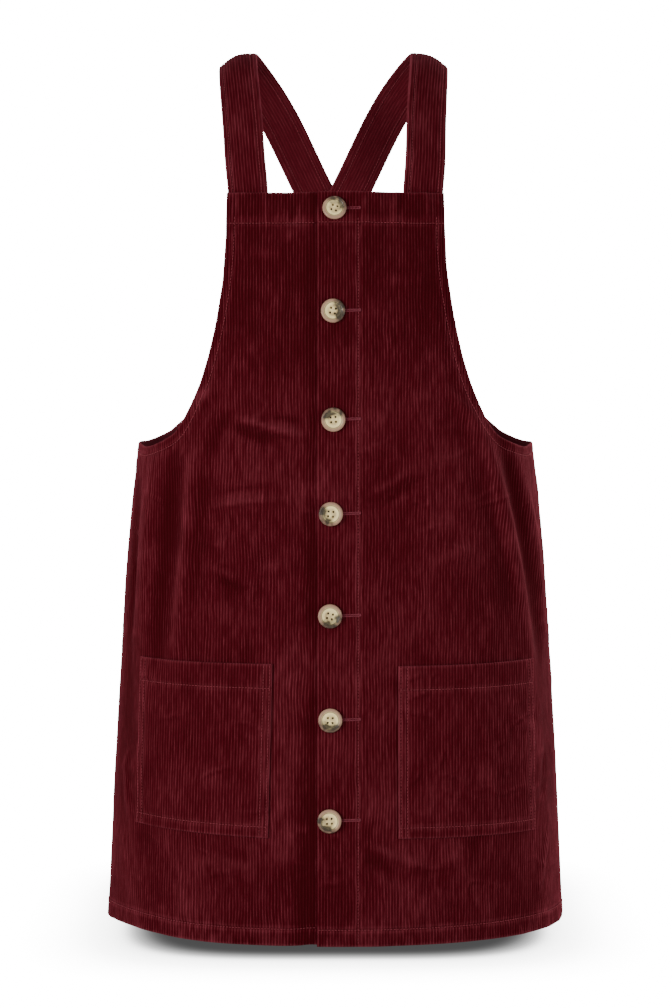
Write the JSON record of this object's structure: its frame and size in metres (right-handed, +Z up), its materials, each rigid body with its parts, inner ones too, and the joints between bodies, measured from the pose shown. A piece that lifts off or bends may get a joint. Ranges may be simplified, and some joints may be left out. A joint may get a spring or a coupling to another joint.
{
  "type": "pinafore dress",
  "caption": "Short A-line pinafore dress in burgundy wide-wale corduroy, filled out as worn: bib with straps crossed behind, button front, two patch pockets, stitched hem.",
  "frame": {"origin": "midway between the tops of the two straps, level with their undersides, where the wearer's shoulders hold the dress", "axes": "+Z up, +Y towards the wearer's back, so the buttoned front faces -Y; +X to the right as seen from in front (the wearer's left)"},
  "size_m": [0.438, 0.3043, 0.824],
  "materials": {
    "front_cloth": "wide-wale cotton corduroy, brushed pile, dark burgundy",
    "back_cloth": "wide-wale cotton corduroy, brushed pile, dark burgundy",
    "strap_cloth": "wide-wale cotton corduroy folded double and topstitched",
    "pocket_cloth": "wide-wale cotton corduroy, rubbed lighter along its stitched edges",
    "button_horn": "polished horn-effect resin, cream with grey-brown mottling at the rim"
  },
  "bodies": {
    "root": {"front_left": "front_cloth", "front_right": "front_cloth", "back": "back_cloth", "strap_left": "strap_cloth", "strap_right": "strap_cloth", "pocket_left": "pocket_cloth", "pocket_right": "pocket_cloth", "button_1": "button_horn", "button_2": "button_horn", "button_3": "button_horn", "button_4": "button_horn", "button_5": "button_horn", "button_6": "button_horn", "button_7": "button_horn"}
  },
  "joints": []
}
